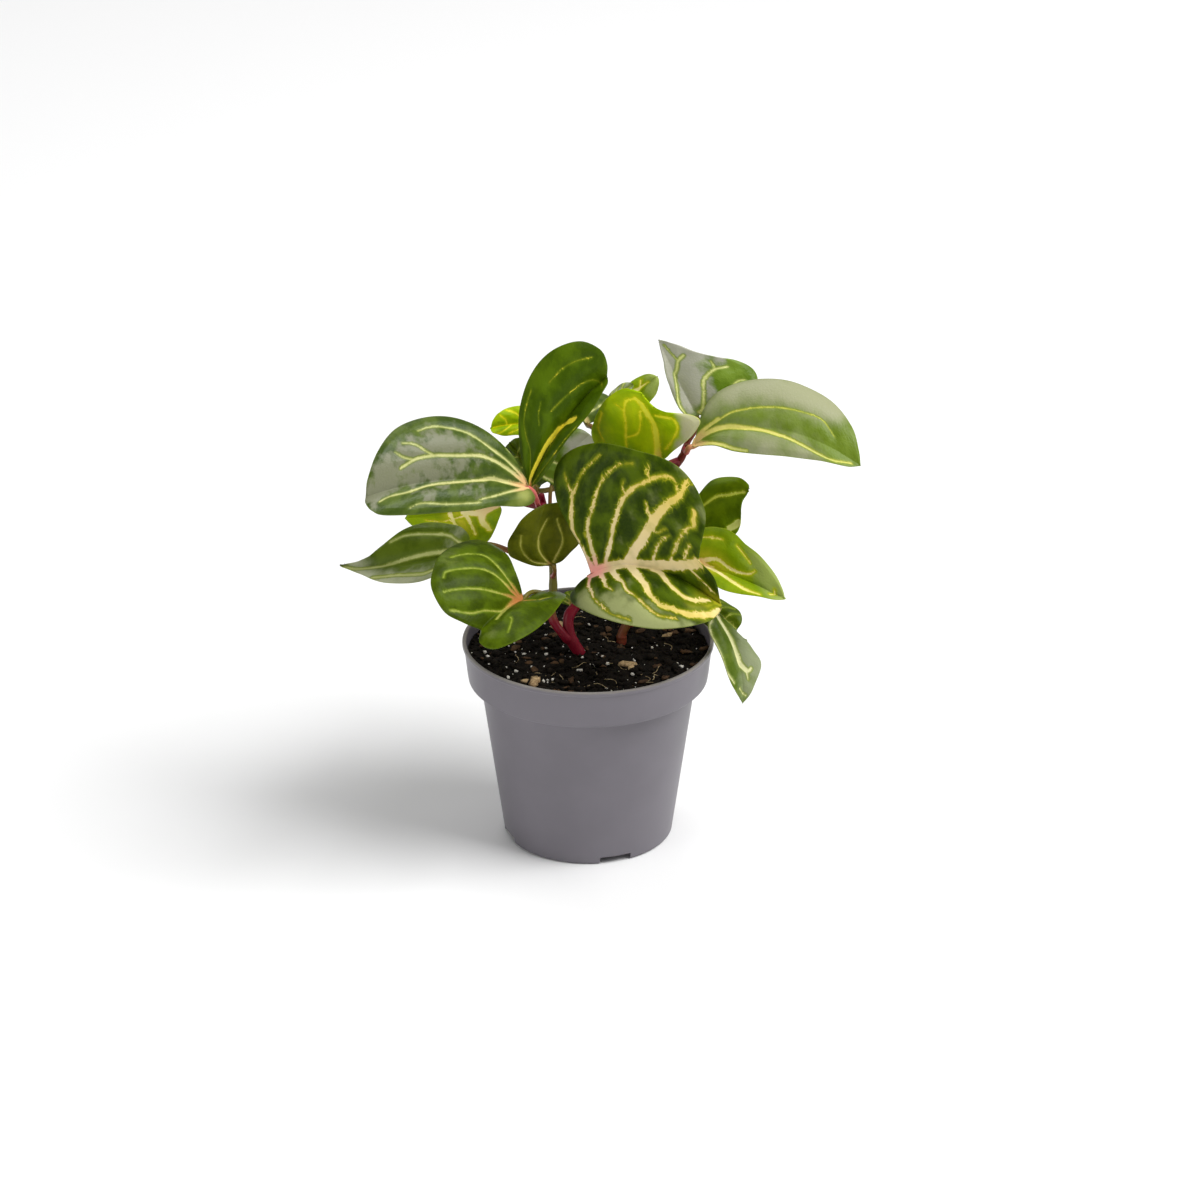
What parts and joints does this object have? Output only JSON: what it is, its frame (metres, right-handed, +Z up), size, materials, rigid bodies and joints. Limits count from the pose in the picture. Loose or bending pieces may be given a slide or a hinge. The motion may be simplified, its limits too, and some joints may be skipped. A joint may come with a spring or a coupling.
{
  "type": "potted bloodleaf",
  "caption": "Small leafy plant with cream-veined rounded green leaves on crimson stems, growing in dark soil in a tapered grey plastic nursery pot with a deep rim band.",
  "frame": {"origin": "centre of the flat central pad under the pot's floor, on the pot's axis, at the surface it stands on", "axes": "+Z up along the pot's axis, -Y towards the side with the largest leaf, +X to the right of that side"},
  "size_m": [0.242, 0.1626, 0.244],
  "materials": {
    "pot": "satin grey moulded polypropylene",
    "soil": "moist dark peat and bark with perlite",
    "stem": "smooth crimson and green shoots",
    "leaf": "glossy green with cream veins"
  },
  "bodies": {
    "root": {"leaf_back_low_right": "leaf", "leaf_back_middle": "leaf", "leaf_back_right": "leaf", "leaf_back_top": "leaf", "leaf_back_upper_left": "leaf", "leaf_back_upper_right": "leaf", "leaf_behind_left": "leaf", "leaf_behind_tall": "leaf", "leaf_centre_olive": "leaf", "leaf_front_large": "leaf", "leaf_front_left": "leaf", "leaf_left_pointed": "leaf", "leaf_left_upper": "leaf", "leaf_left_yellow": "leaf", "leaf_lime_young": "leaf", "leaf_low_dark": "leaf", "leaf_right_bright": "leaf", "leaf_right_hanging": "leaf", "leaf_right_hanging_back": "leaf", "leaf_right_long": "leaf", "leaf_right_middle": "leaf", "leaf_tall": "leaf", "leaf_top_left_small": "leaf", "leaf_top_right": "leaf", "leaf_top_small": "leaf", "leaf_top_tiny": "leaf", "pot": "pot", "soil": "soil", "stem_back": "stem", "stem_forked": "stem", "stem_right": "stem"}
  },
  "joints": []
}
